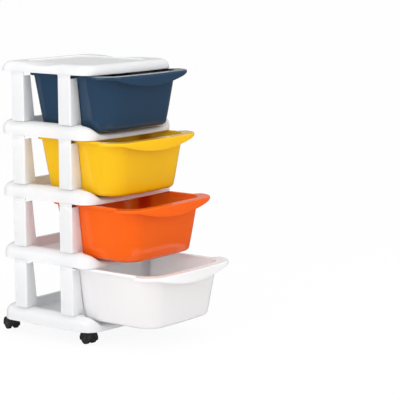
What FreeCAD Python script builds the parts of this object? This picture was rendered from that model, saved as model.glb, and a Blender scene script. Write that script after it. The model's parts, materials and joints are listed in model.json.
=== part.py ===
import FreeCAD, Part
import math
import os

Vector = FreeCAD.Vector

# Plan of the tower, seen from above. The front faces -Y and the origin is on the floor.
TOWER_WIDTH = 390.0
REAR_REACH = 173.0
FRONT_REACH = 170.0
FRONT_BOW = 10.0
PLAN_CORNER = 45.0

# Heights of the stack
BASE_BOTTOM = 39.0
BASE_HEIGHT = 43.0
SHELF_HEIGHT = 40.0
POST_HEIGHT = 139.5
TOP_HEIGHT = 27.0

# Shelves, base and top panel, which are thin moulded trays
WALL = 2.5
EDGE_ROUND = 26.0
RING_WIDTH = 31.0
TRAY_FLOOR = 10.0
LIP_HEIGHT = 16.0
LIP_SIDE_INSET = 71.0
LIP_SWEEP = 42.0
LIP_REACH = 62.0
POCKET_CORNER = 30.0
LEDGE_HEIGHT = 23.0
LEDGE_WIDTH = 2.0
RECESS_SIDE_INSET = 68.0
RECESS_MARGIN = 42.0
RECESS_DEPTH = 3.0
RECESS_CORNER = 34.0

# Grips: a dip in the middle of each side of the top panel, which deepens outwards
GRIP_WIDTH = 60.0
GRIP_DEPTH = 9.0
GRIP_SHIFT = 15.0
GRIP_RADIUS = 404.0

# Corner posts
POST_INSET = 0.8
POST_WALL = 3.0
POST_DEPTH = 46.0
FRONT_POST_INSET = 62.5
REAR_POST_INSET = 59.0
RIM_SLOT = 10.0
TONGUE_HEIGHT = 10.0
TONGUE_WALL = 2.5
TONGUE_GAP = 0.3
TONGUE_MARGIN = 6.0

# Drawers, one per tier from the top, and how far each stands open at rest
DRAWER_NAMES = ("drawer_navy", "drawer_yellow", "drawer_orange", "drawer_white")
PULLED_OUT = (73.0, 99.5, 156.0, 222.5)
BODY_SIDE_INSET = 31.5
BODY_FRONT_INSET = 25.0
BODY_REAR_INSET = 37.0
BODY_TAPER = 19.5
BODY_BOW = 7.0
FLOOR_GAP = 11.5
BODY_CORNER = 48.0
BOTTOM_ROUND = 20.0
DRAWER_WALL = 2.2
SIDE_GAP = 2.0
RIM_GAP = 1.5
RIM_SHEET = 2.5
RIM_DROP = 8.2
RIM_SIDE_GAP = 0.5
RIM_FRONT_INSET = 2.0
RIM_FRONT_CORNER = 58.0
RIM_REAR_INSET = 21.0
RIM_REAR_CORNER = 20.0
RIM_STOP_GAP = 1.5
RIM_EDGE_ROUND = 1.0
HANDLE_SIDE_INSET = 35.0
HANDLE_DROP = 24.0

# Casters
CASTER_SIDE_INSET = 39.0
CASTER_FRONT_INSET = 24.0
CASTER_REAR_INSET = 17.0
CASTER_TRAIL = 15.0
CASTER_ANGLES = {"front_left": 80.0, "front_right": 97.0, "rear_left": 68.0, "rear_right": 104.0}
WHEEL_RADIUS = 17.0
WHEEL_WIDTH = 11.5
WHEEL_ROUND = 2.5
WHEEL_GAP = 0.4
HUB_RADIUS = 8.0
HUB_DISH = 1.5
CHEEK_WALL = 1.0
HOOD_GAP = 0.8
HOOD_WALL = 1.8
HOOD_OVERHANG = 1.0
HOOD_LOW_ANGLE = -20.0
AXLE_RADIUS = 2.0
AXLE_OVERHANG = 1.0
STEM_RADIUS = 4.0
STEM_DEPTH = 26.0
STEM_FOOT = 24.0
COLLAR_RADIUS = 7.0
COLLAR_HEIGHT = 2.0
COLLAR_GAP = 0.3
SOCKET_WALL = 4.0
SOCKET_DEEP = 1.0
SWIVEL_BOSS_RADIUS = 8.0
RUNNING_GAP = 0.05

# Slack by which a cutting tool runs past what it cuts, and within which heights count as one
OVERRUN = 5.0
LEVEL_SLACK = 0.2

HALF_WIDTH = TOWER_WIDTH / 2
BASE_TOP = BASE_BOTTOM + BASE_HEIGHT
TIER_PITCH = POST_HEIGHT + SHELF_HEIGHT
TIER_COUNT = len(DRAWER_NAMES)
LIP_HALF_WIDTH = HALF_WIDTH - LIP_SIDE_INSET
FRONT_POST_FACE = FRONT_POST_INSET - FRONT_REACH
REAR_POST_FACE = REAR_REACH - REAR_POST_INSET - POST_DEPTH
BODY_HALF_WIDTH = HALF_WIDTH - BODY_SIDE_INSET
BODY_HEIGHT = TIER_PITCH - TRAY_FLOOR - FLOOR_GAP - RIM_GAP
HANDLE_HALF_WIDTH = HALF_WIDTH - HANDLE_SIDE_INSET
CHEEK_WIDTH = 2 * (STEM_RADIUS + RUNNING_GAP + CHEEK_WALL)
SIDES = (("left", -1), ("right", 1))
POST_PLACES = (("front", FRONT_POST_FACE), ("rear", REAR_POST_FACE))


def tier_roof(tier):
    """Height of the underside that closes a tier, counted from the top tier."""
    return BASE_TOP + POST_HEIGHT + (TIER_COUNT - 1 - tier) * TIER_PITCH


def save(shape, name):
    """Write one sub-part to its own file."""
    shape.exportStep("parts/" + name + ".step")


def box(low, high):
    """Box between two corners."""
    size = [high[i] - low[i] for i in range(3)]
    return Part.makeBox(size[0], size[1], size[2], Vector(*low))


def plan_wire(half_width, front, rear, bow, height):
    """Outline with a straight rear and sides and a front edge that bows out."""
    left_front = Vector(-half_width, -front, height)
    right_front = Vector(half_width, -front, height)
    right_rear = Vector(half_width, rear, height)
    left_rear = Vector(-half_width, rear, height)
    nose = Vector(0, -front - bow, height)
    edges = [
        Part.Arc(left_front, nose, right_front).toShape(),
        Part.LineSegment(right_front, right_rear).toShape(),
        Part.LineSegment(right_rear, left_rear).toShape(),
        Part.LineSegment(left_rear, left_front).toShape(),
    ]
    return Part.Wire(edges)


def is_upright(edge):
    """True for an edge that climbs, such as a corner of a block."""
    return abs(edge.Vertexes[0].Z - edge.Vertexes[-1].Z) > LEVEL_SLACK


def plan_block(half_width, front, rear, bow, bottom, top, corner, taper=0.0):
    """Block on the bowed plan, its corners rounded, narrower by taper at its bottom."""
    low = plan_wire(half_width - taper, front - taper, rear - taper, bow, bottom)
    high = plan_wire(half_width, front, rear, bow, top)
    block = Part.makeLoft([low, high], True, True)
    upright = [edge for edge in block.Edges if is_upright(edge)]
    return block.makeFillet(corner, upright)


def round_level(solid, height, radius):
    """Round every edge of a solid that lies at one height."""
    level = [edge for edge in solid.Edges if all(abs(v.Z - height) < LEVEL_SLACK for v in edge.Vertexes)]
    return solid.makeFillet(radius, level)


def plan_shell(bottom, top, offset):
    """Body of a tray, filled, whose walls and roof stand back by an offset."""
    block = plan_block(
        HALF_WIDTH - offset, FRONT_REACH - offset, REAR_REACH - offset, FRONT_BOW,
        bottom, top - offset, PLAN_CORNER - offset)
    return round_level(block, top - offset, EDGE_ROUND - offset)


def lip_cutter(bottom, top, offset):
    """What is cut from a tray's front so that its wall sweeps down to a low lip."""
    low = bottom + LIP_HEIGHT - offset
    high = top - offset
    inner = LIP_HALF_WIDTH
    outer = LIP_HALF_WIDTH + LIP_SWEEP
    start = -FRONT_REACH - FRONT_BOW - OVERRUN
    roof = top + OVERRUN

    def spot(x, z):
        return Vector(x, start, z)

    edges = [Part.LineSegment(spot(-inner, low), spot(inner, low)).toShape()]
    for side in (1, -1):
        poles = [spot(side * inner, low), spot(side * (inner + LIP_SWEEP / 2), low),
                 spot(side * (inner + LIP_SWEEP / 2), high), spot(side * outer, high)]
        sweep = Part.BezierCurve()
        sweep.setPoles(poles)
        edges.append(sweep.toShape())
        edges.append(Part.LineSegment(spot(side * outer, high), spot(side * outer, roof)).toShape())
    edges.append(Part.LineSegment(spot(-outer, roof), spot(outer, roof)).toShape())
    outline = Part.Wire(Part.__sortEdges__(edges))
    return Part.Face(outline).extrude(Vector(0, LIP_REACH, 0))


def body_half_width(drop):
    """Half width of a drawer's body, at a depth below its tier's roof."""
    return BODY_HALF_WIDTH - BODY_TAPER * (drop - RIM_GAP) / BODY_HEIGHT


def web_half_width(drop):
    """Half width of the way between two posts, at a depth below the roof."""
    return body_half_width(drop) + SIDE_GAP


def seat_block(side, face, bottom, top, offset):
    """Square seat in a tray's ring that a post stands on."""
    outer = side * (HALF_WIDTH - offset)
    inner = side * (web_half_width(POST_HEIGHT) + offset)
    low = (min(outer, inner), face + offset, bottom)
    high = (max(outer, inner), face + POST_DEPTH - offset, top - offset)
    return box(low, high)


def seat_blocks(bottom, top, offset):
    """The four seats of one tray."""
    return [seat_block(side, face, bottom, top, offset) for _, side in SIDES for _, face in POST_PLACES]


def pocket(bottom, top, grown):
    """Room inside a tray's ring, above its floor, wider above a ledge round its wall."""
    room = None
    for low, wider in ((TRAY_FLOOR, 0.0), (LEDGE_HEIGHT, LEDGE_WIDTH)):
        reach = wider + grown - RING_WIDTH
        block = plan_block(
            HALF_WIDTH + reach, FRONT_REACH + reach, REAR_REACH + reach, FRONT_BOW,
            bottom + low - grown, top + OVERRUN, POCKET_CORNER + wider + grown)
        room = block if room is None else room.fuse(block)
    return room


def tray(bottom, top):
    """Moulded tray: a hollow rounded ring, open underneath, round a sunk floor."""
    outside = plan_shell(bottom, top, 0.0).cut(pocket(bottom, top, 0.0)).fuse(seat_blocks(bottom, top, 0.0))
    outside = outside.cut(lip_cutter(bottom, top, 0.0))
    inside = plan_shell(bottom - OVERRUN, top, WALL).cut(pocket(bottom, top, WALL))
    inside = inside.fuse(seat_blocks(bottom - OVERRUN, top, WALL))
    inside = inside.cut(lip_cutter(bottom, top, WALL))
    return outside.cut(inside).removeSplitter()


def shelf(tier):
    """Shelf frame under one tier."""
    bottom = tier_roof(tier + 1)
    return tray(bottom, bottom + SHELF_HEIGHT)


def caster_places():
    """Name, X and Y of each caster's stem."""
    places = []
    front = CASTER_FRONT_INSET - FRONT_REACH
    rear = REAR_REACH - CASTER_REAR_INSET
    for side_name, side in SIDES:
        for row, depth in (("front", front), ("rear", rear)):
            places.append((row + "_" + side_name, side * (HALF_WIDTH - CASTER_SIDE_INSET), depth))
    return places


def base():
    """Bottom tray, with a socket for the stem of each caster, up to its ring's roof."""
    solid = tray(BASE_BOTTOM, BASE_TOP)
    room = plan_shell(BASE_BOTTOM, BASE_TOP, WALL / 2).cut(pocket(BASE_BOTTOM, BASE_TOP, WALL / 2))
    room = room.cut(lip_cutter(BASE_BOTTOM, BASE_TOP, WALL / 2))
    for _, x, y in caster_places():
        radius = STEM_RADIUS + RUNNING_GAP + SOCKET_WALL
        socket = Part.makeCylinder(radius, BASE_HEIGHT, Vector(x, y, BASE_BOTTOM)).common(room)
        bore = Part.makeCylinder(
            STEM_RADIUS + RUNNING_GAP, STEM_DEPTH + SOCKET_DEEP + OVERRUN, Vector(x, y, BASE_BOTTOM - OVERRUN))
        solid = solid.fuse(socket).cut(bore)
    return solid.removeSplitter()


def recess(top, grown):
    """Shallow tray in the top panel's upper face."""
    return plan_block(
        HALF_WIDTH - RECESS_SIDE_INSET + grown, FRONT_REACH - RECESS_MARGIN + grown,
        REAR_REACH - RECESS_MARGIN + grown, FRONT_BOW,
        top - RECESS_DEPTH - grown, top + OVERRUN, RECESS_CORNER + grown)


def grips(top, grown):
    """Flared rounds that dip the two sides of the top panel."""
    reach = GRIP_WIDTH + OVERRUN
    start = GRIP_RADIUS + grown
    end = start + GRIP_DEPTH * reach / GRIP_WIDTH
    cutters = []
    for _, side in SIDES:
        corner = Vector(side * (HALF_WIDTH - GRIP_WIDTH), GRIP_SHIFT, top + GRIP_RADIUS)
        cutters.append(Part.makeCone(start, end, reach, corner, Vector(side, 0, 0)))
    return cutters


def top_panel():
    """Top cover with a rounded skirt, a shallow tray on top and a grip dip at each side."""
    bottom = tier_roof(0)
    top = bottom + TOP_HEIGHT
    outside = plan_shell(bottom, top, 0.0).cut(recess(top, 0.0)).cut(grips(top, 0.0))
    inside = plan_shell(bottom - OVERRUN, top, WALL).cut(recess(top, WALL)).cut(grips(top, WALL))
    return outside.cut(inside).removeSplitter()


def tongue_block(roof, front, rear):
    """Tongue on a post's head, leaning in as the round of the panel above it does."""
    outer = HALF_WIDTH - WALL - TONGUE_GAP
    round_radius = EDGE_ROUND - WALL
    climb = TONGUE_HEIGHT - (TOP_HEIGHT - EDGE_ROUND)
    lean = round_radius - math.sqrt(round_radius * round_radius - climb * climb)
    side_view = Part.makePolygon([
        Vector(outer - TONGUE_WALL, front, roof),
        Vector(outer, front, roof),
        Vector(outer - lean, front, roof + TONGUE_HEIGHT),
        Vector(outer - lean - TONGUE_WALL, front, roof + TONGUE_HEIGHT),
        Vector(outer - TONGUE_WALL, front, roof),
    ])
    return Part.Face(side_view).extrude(Vector(0, rear - front, 0))


def post(tier, side, face):
    """Corner post: a channel with a side plate, two webs, a rim slot and a tongue."""
    roof = tier_roof(tier)
    foot = roof - POST_HEIGHT
    outer = HALF_WIDTH - POST_INSET
    back = face + POST_DEPTH
    plate = box((outer - POST_WALL, face, foot), (outer, back, roof))
    outline = Part.makePolygon([
        Vector(outer, face, foot),
        Vector(outer, face, roof - RIM_SLOT),
        Vector(web_half_width(RIM_SLOT), face, roof - RIM_SLOT),
        Vector(web_half_width(POST_HEIGHT), face, foot),
        Vector(outer, face, foot),
    ])
    web = Part.Face(outline).extrude(Vector(0, POST_WALL, 0))
    rear_web = web.copy()
    rear_web.translate(Vector(0, POST_DEPTH - POST_WALL, 0))
    tongue = tongue_block(roof, face + TONGUE_MARGIN, back - TONGUE_MARGIN)
    foot_plate = box((web_half_width(POST_HEIGHT), face, foot), (outer, back, foot + POST_WALL))
    solid = plate.fuse([web, rear_web, tongue, foot_plate]).removeSplitter()
    if side < 0:
        solid = solid.mirror(Vector(0, 0, 0), Vector(1, 0, 0))
    return solid


def drawer_block(roof, offset, raised):
    """Tapered body of a drawer, filled, whose walls and floor stand back by an offset."""
    top = roof - RIM_GAP
    block = plan_block(
        BODY_HALF_WIDTH - offset, FRONT_REACH - BODY_FRONT_INSET - offset,
        REAR_REACH - BODY_REAR_INSET - offset, BODY_BOW,
        top - BODY_HEIGHT + offset, top + raised, BODY_CORNER - offset, BODY_TAPER)
    return round_level(block, top - BODY_HEIGHT + offset, BOTTOM_ROUND - offset)


def rim_fields():
    """Plan of a drawer's rim: a wide front and a narrower part that runs in the posts."""
    run_half_width = HALF_WIDTH - POST_INSET - POST_WALL - RIM_SIDE_GAP
    shoulder = FRONT_POST_FACE - RIM_STOP_GAP
    return run_half_width, shoulder


def rim_block(low, high, inset):
    """Filled plan of the rim between two heights, drawn in by an inset."""
    run_half_width, shoulder = rim_fields()
    rear = REAR_REACH - RIM_REAR_INSET
    front = plan_block(
        HALF_WIDTH - inset, FRONT_REACH - RIM_FRONT_INSET - inset, rear, FRONT_BOW,
        low, high, RIM_FRONT_CORNER - inset)
    keep = box(
        (-TOWER_WIDTH, -TOWER_WIDTH, low - OVERRUN),
        (TOWER_WIDTH, shoulder - inset, high + OVERRUN))
    run = plan_block(
        run_half_width - inset, RIM_REAR_CORNER + OVERRUN - shoulder, rear - inset, FRONT_BOW,
        low, high, RIM_REAR_CORNER - inset)
    reach = box(
        (-TOWER_WIDTH, shoulder - inset - OVERRUN, low - OVERRUN),
        (TOWER_WIDTH, TOWER_WIDTH, high + OVERRUN))
    return front.common(keep).fuse(run.common(reach)).removeSplitter()


def handle_cutter(roof):
    """What is cut below the rim so that its front hangs down in a crescent."""
    edge = roof - RIM_GAP - RIM_DROP
    low = edge - HANDLE_DROP
    start = -FRONT_REACH - FRONT_BOW - OVERRUN

    def spot(x, z):
        return Vector(x, start, z)

    floor = low - OVERRUN
    left = spot(-HANDLE_HALF_WIDTH, edge)
    right = spot(HANDLE_HALF_WIDTH, edge)
    edges = [
        Part.Arc(left, spot(0, low), right).toShape(),
        Part.LineSegment(right, spot(TOWER_WIDTH, edge)).toShape(),
        Part.LineSegment(spot(TOWER_WIDTH, edge), spot(TOWER_WIDTH, floor)).toShape(),
        Part.LineSegment(spot(TOWER_WIDTH, floor), spot(-TOWER_WIDTH, floor)).toShape(),
        Part.LineSegment(spot(-TOWER_WIDTH, floor), spot(-TOWER_WIDTH, edge)).toShape(),
        Part.LineSegment(spot(-TOWER_WIDTH, edge), left).toShape(),
    ]
    return Part.Face(Part.Wire(edges)).extrude(Vector(0, 2 * TOWER_WIDTH, 0))


def rim(roof):
    """Rim sheet with its turned-down edge, which hangs down as a handle in front."""
    top = roof - RIM_GAP
    low = top - RIM_DROP - HANDLE_DROP - LEVEL_SLACK
    full = round_level(rim_block(low, top, 0.0), top, RIM_EDGE_ROUND)
    room = rim_block(low - OVERRUN, top - RIM_SHEET, DRAWER_WALL)
    return full.cut(room).cut(handle_cutter(roof))


def drawer(tier):
    """One tub drawer, moved out of its tier by what it stands open."""
    roof = tier_roof(tier)
    body = drawer_block(roof, 0.0, 0.0).fuse(rim(roof))
    solid = body.cut(drawer_block(roof, DRAWER_WALL, OVERRUN)).removeSplitter()
    solid.translate(Vector(0, -PULLED_OUT[tier], 0))
    return solid


def caster_axle_line():
    """Half length of a caster's axle, and where its wheels start beside the cheek."""
    start = CHEEK_WIDTH / 2 + WHEEL_GAP
    return start + WHEEL_WIDTH + HOOD_OVERHANG, start


def turned(solid, name, x, y):
    """Set a caster piece, drawn with its stem on the Z axis, at its place and angle."""
    placed = solid.copy()
    placed.rotate(Vector(0, 0, 0), Vector(0, 0, 1), CASTER_ANGLES[name])
    placed.translate(Vector(x, y, 0))
    return placed


def caster_stem():
    """Steel stem with a collar that seats under the base."""
    length = BASE_BOTTOM + STEM_DEPTH - STEM_FOOT
    pin = Part.makeCylinder(STEM_RADIUS, length, Vector(0, 0, STEM_FOOT))
    collar = Part.makeCylinder(COLLAR_RADIUS, COLLAR_HEIGHT, Vector(0, 0, BASE_BOTTOM - COLLAR_HEIGHT))
    return pin.fuse(collar).removeSplitter()


def across(radius, start, length, lift):
    """Cylinder along the axle line, which runs along Y at the caster's trail."""
    return Part.makeCylinder(radius, length, Vector(CASTER_TRAIL, start, lift), Vector(0, 1, 0))


def caster_housing():
    """Moulded housing: a cheek between the wheels, a hood over them and a swivel boss."""
    half, _ = caster_axle_line()
    inner = WHEEL_RADIUS + HOOD_GAP
    outer = inner + HOOD_WALL
    hood = across(outer, -half, 2 * half, WHEEL_RADIUS).cut(
        across(inner, -half - OVERRUN, 2 * (half + OVERRUN), WHEEL_RADIUS))
    reach = outer + OVERRUN
    floor = WHEEL_RADIUS + outer * math.sin(math.radians(HOOD_LOW_ANGLE))
    hood = hood.cut(box(
        (CASTER_TRAIL - reach, -half - OVERRUN, -OVERRUN),
        (CASTER_TRAIL + reach, half + OVERRUN, floor)))
    cheek = across(outer, -CHEEK_WIDTH / 2, CHEEK_WIDTH, WHEEL_RADIUS)
    cheek = cheek.cut(box(
        (CASTER_TRAIL - reach, -half, -OVERRUN),
        (CASTER_TRAIL + reach, half, WHEEL_RADIUS - AXLE_RADIUS - SOCKET_WALL)))
    boss_top = BASE_BOTTOM - COLLAR_HEIGHT - COLLAR_GAP
    boss_foot = STEM_FOOT - HOOD_WALL
    boss = Part.makeCylinder(SWIVEL_BOSS_RADIUS, boss_top - boss_foot, Vector(0, 0, boss_foot))
    solid = hood.fuse([cheek, boss])
    for side in (-1, 1):
        start, room = wheel_room(side)
        solid = solid.cut(across(inner, start, room, WHEEL_RADIUS))
    bore = Part.makeCylinder(
        STEM_RADIUS + RUNNING_GAP, boss_top - STEM_FOOT + RUNNING_GAP + OVERRUN,
        Vector(0, 0, STEM_FOOT - RUNNING_GAP))
    pin_hole = across(AXLE_RADIUS, -half, 2 * half, WHEEL_RADIUS)
    return solid.cut(bore).cut(pin_hole).removeSplitter()


def wheel_room(side):
    """Start and width of the room beside the cheek that one wheel turns in."""
    width = WHEEL_GAP + WHEEL_WIDTH + HOOD_OVERHANG + OVERRUN
    start = CHEEK_WIDTH / 2 if side > 0 else -CHEEK_WIDTH / 2 - width
    return start, width


def caster_axle():
    """Steel pin that the two wheels turn on."""
    half, start = caster_axle_line()
    reach = start + WHEEL_WIDTH - HUB_DISH + AXLE_OVERHANG
    return across(AXLE_RADIUS, -reach, 2 * reach, WHEEL_RADIUS)


def caster_wheel(side):
    """One wheel of a twin-wheel caster, dished round its hub on the outside."""
    _, start = caster_axle_line()
    disc = across(WHEEL_RADIUS, start, WHEEL_WIDTH, WHEEL_RADIUS)
    rims = [edge for edge in disc.Edges if edge.Length > math.pi * WHEEL_RADIUS and len(edge.Vertexes) == 1]
    disc = disc.makeFillet(WHEEL_ROUND, rims)
    face = start + WHEEL_WIDTH
    dish = across(WHEEL_RADIUS - 2 * WHEEL_ROUND, face - HUB_DISH, HUB_DISH + OVERRUN, WHEEL_RADIUS)
    hub = across(HUB_RADIUS, face - HUB_DISH, HUB_DISH, WHEEL_RADIUS)
    bore = across(AXLE_RADIUS + RUNNING_GAP, start - OVERRUN, WHEEL_WIDTH + 2 * OVERRUN, WHEEL_RADIUS)
    solid = disc.cut(dish).fuse(hub).cut(bore).removeSplitter()
    if side < 0:
        solid = solid.mirror(Vector(0, 0, 0), Vector(0, 1, 0))
    return solid


def build_stack():
    """Write the trays, the posts and the drawers."""
    save(top_panel(), "top_panel")
    save(base(), "base_frame")
    for tier in range(TIER_COUNT - 1):
        save(shelf(tier), "shelf_frame_%d" % (tier + 1))
    for tier in range(TIER_COUNT):
        save(drawer(tier), DRAWER_NAMES[tier])
        for side_name, side in SIDES:
            for place, face in POST_PLACES:
                save(post(tier, side, face), "post_%d_%s_%s" % (tier + 1, place, side_name))


def build_casters():
    """Write the five pieces of each caster."""
    for name, x, y in caster_places():
        save(turned(caster_stem(), name, x, y), "caster_stem_" + name)
        save(turned(caster_housing(), name, x, y), "caster_housing_" + name)
        save(turned(caster_axle(), name, x, y), "caster_axle_" + name)
        save(turned(caster_wheel(1), name, x, y), "caster_wheel_%s_a" % name)
        save(turned(caster_wheel(-1), name, x, y), "caster_wheel_%s_b" % name)


os.makedirs("parts", exist_ok=True)
build_stack()
build_casters()
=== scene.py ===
"""Looks of a plastic drawer tower on casters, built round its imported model.

Lengths are in metres, in the part's own frame: +Z is up, the drawers open towards -Y, and the
origin is on the floor under the middle of the tower.
"""

import json
import logging
import math
from dataclasses import dataclass, replace
from enum import Enum
from typing import Callable, Optional, Sequence, Union

import bmesh
import bpy
from bmesh.types import BMEdge, BMesh, BMVert
from mathutils import Matrix, Vector


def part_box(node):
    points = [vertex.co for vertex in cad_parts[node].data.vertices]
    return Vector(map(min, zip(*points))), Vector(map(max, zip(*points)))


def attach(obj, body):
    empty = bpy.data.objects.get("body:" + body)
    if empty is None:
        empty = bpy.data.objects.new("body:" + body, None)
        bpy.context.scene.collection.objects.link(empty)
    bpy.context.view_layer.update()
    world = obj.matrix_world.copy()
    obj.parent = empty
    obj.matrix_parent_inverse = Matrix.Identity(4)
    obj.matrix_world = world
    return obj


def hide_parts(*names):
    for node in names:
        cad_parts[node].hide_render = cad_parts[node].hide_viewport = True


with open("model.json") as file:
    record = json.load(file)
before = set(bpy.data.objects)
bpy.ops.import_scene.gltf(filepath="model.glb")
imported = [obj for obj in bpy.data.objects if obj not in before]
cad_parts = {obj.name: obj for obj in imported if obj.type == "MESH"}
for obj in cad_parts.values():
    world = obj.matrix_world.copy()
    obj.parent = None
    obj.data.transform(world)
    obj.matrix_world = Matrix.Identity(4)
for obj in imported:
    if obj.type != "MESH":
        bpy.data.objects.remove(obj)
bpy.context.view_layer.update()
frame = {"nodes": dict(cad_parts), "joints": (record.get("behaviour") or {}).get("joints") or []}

LOG = logging.getLogger("drawer_tower")
TOWER_BODY = "tower_frame"
ROWS = ("front", "rear")
SIDES = ("left", "right")
MERGE_DISTANCE = 0.00002  # vertices nearer than this are one
HAIR = 0.00001  # slack when places are compared
LEAST_CORNER = 0.002  # smallest corner of an outline that is drawn in
SHARP_ANGLE = math.radians(38.0)  # folds steeper than this are shaded as edges

Place = tuple[float, float, float]
Tone = tuple[float, float, float]
Level = Callable[[float, float], float]
Warp = Callable[[float, float], tuple[float, float]]
Source = Union[bpy.types.NodeSocket, float, tuple[float, ...]]


def smooth_step(share: float) -> float:
    """Rise smoothly from 0 to 1 while the share does, and stay level outside that."""
    held = min(1.0, max(0.0, share))
    return held * held * (3.0 - 2.0 * held)


def smooth_min(first: float, second: float, blend: float) -> float:
    """Give the lesser of two lengths, with the crossing rounded.

    Args:
        first: one length.
        second: the other length.
        blend: how near the two have to be before they are rounded together.

    Returns:
        The rounded lesser length.
    """
    share = max(0.0, blend - abs(first - second)) / blend
    return min(first, second) - share * share * blend / 4.0


def quarter_turn(steps: int, forwards: bool = True) -> list[tuple[float, float]]:
    """Step round a quarter circle of radius 1.

    Args:
        steps: how many steps it takes.
        forwards: False to walk it from its end to its start.

    Returns:
        For each place, what is left to go one way and what has been gone the other way.
    """
    angles = [math.pi / 2.0 * step / steps for step in range(steps + 1)]
    places = [(1.0 - math.sin(angle), 1.0 - math.cos(angle)) for angle in angles]
    return places if forwards else places[::-1]


def extrude_edges(mesh: BMesh, edges: Sequence[BMEdge]) -> tuple[set[BMVert], list[BMEdge]]:
    """Extrude edges, and leave what is new in place.

    Args:
        mesh: the shape.
        edges: the edges.

    Returns:
        The new vertices, and the new edges that join them.
    """
    made = bmesh.ops.extrude_edge_only(mesh, edges=edges)["geom"]
    verts = {item for item in made if isinstance(item, BMVert)}
    return verts, [e for e in made if isinstance(e, BMEdge) and set(e.verts) <= verts]


def round_edges(mesh: BMesh, radius: float, segments: int, angle: float, clamp: bool) -> None:
    """Round every edge of a mesh that is sharper than an angle.

    Args:
        mesh: the shape.
        radius: size of the round.
        segments: faces across the round.
        angle: least angle between two faces.
        clamp: True to keep neighbouring rounds apart.
    """
    sharp = [
        edge for edge in mesh.edges
        if len(edge.link_faces) == 2 and edge.calc_face_angle(0.0) > angle]
    bmesh.ops.bevel(
        mesh, geom=sharp, offset=radius, segments=segments, profile=0.5, affect="EDGES",
        material=-1, clamp_overlap=clamp)


def turn_outwards(mesh: BMesh) -> None:
    """Point all faces of a closed mesh outwards."""
    bmesh.ops.recalc_face_normals(mesh, faces=mesh.faces[:])


def to_data(mesh: BMesh, name: str) -> bpy.types.Mesh:
    """Write a mesh to a data block, and use it up.

    Args:
        mesh: the shape.
        name: the data block's name.

    Returns:
        The data block.
    """
    data = bpy.data.meshes.new(name)
    mesh.to_mesh(data)
    mesh.free()
    return data


def add_object(name: str, data: bpy.types.ID) -> bpy.types.Object:
    """Put an object into the scene.

    Args:
        name: its name.
        data: its mesh, lamp or camera.

    Returns:
        The object.
    """
    made = bpy.data.objects.new(name, data)
    bpy.context.scene.collection.objects.link(made)
    return made


@dataclass(frozen=True)
class RingSpot:
    """Seat of a vertex on an outline: its corner, its facing, and its share of a side."""

    u: float
    v: float
    facing_x: float
    facing_y: float
    stop: int = -1
    share: float = 0.0


@dataclass(frozen=True)
class Outline:
    """Rounded outline seen from above, with a front edge that bows out.

    A front half width other than the half width gives the outline a step behind its front
    corners. Stops are fixed places along the sides, where rings keep their vertices in line.
    """

    half_width: float
    front: float
    rear: float
    front_corner: float
    rear_corner: float
    bow: float
    front_half_width: float = 0.0
    stops: tuple[float, ...] = ()

    def inset(self, amount: float) -> "Outline":
        """Draw the whole outline in by an amount, or out by a negative one.

        Args:
            amount: distance inwards.

        Returns:
            The outline that runs beside this one.
        """
        wide = self.front_half_width
        return replace(
            self,
            half_width=self.half_width - amount,
            front=self.front - amount,
            rear=self.rear - amount,
            front_corner=max(self.front_corner - amount, LEAST_CORNER),
            rear_corner=max(self.rear_corner - amount, LEAST_CORNER),
            front_half_width=wide - amount if wide else 0.0,
        )

    def spread(self) -> "Outline":
        """Give the same outline with the vertices of its sides spread by their shares."""
        return replace(self, stops=())

    def place(self, spot: RingSpot) -> tuple[float, float]:
        """Work out where a ring's vertex lies on this outline.

        Args:
            spot: the vertex's seat on the ring.

        Returns:
            Its X and Y.
        """
        at_front = spot.v <= -1.0
        wide = self.front_half_width if at_front and self.front_half_width else self.half_width
        corner = self.front_corner if at_front else self.rear_corner
        x = spot.u * (wide - corner) + spot.facing_x * corner
        near = self.front_corner - self.front
        far = self.rear - self.rear_corner
        if spot.stop < 0:
            y = (near if at_front else far) + spot.facing_y * corner
        elif self.stops:
            y = self.stops[spot.stop]
        else:
            y = near + spot.share * (far - near)
        if at_front:
            y -= self.bow * (1.0 - (x / wide) ** 2)
        return x, y


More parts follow.
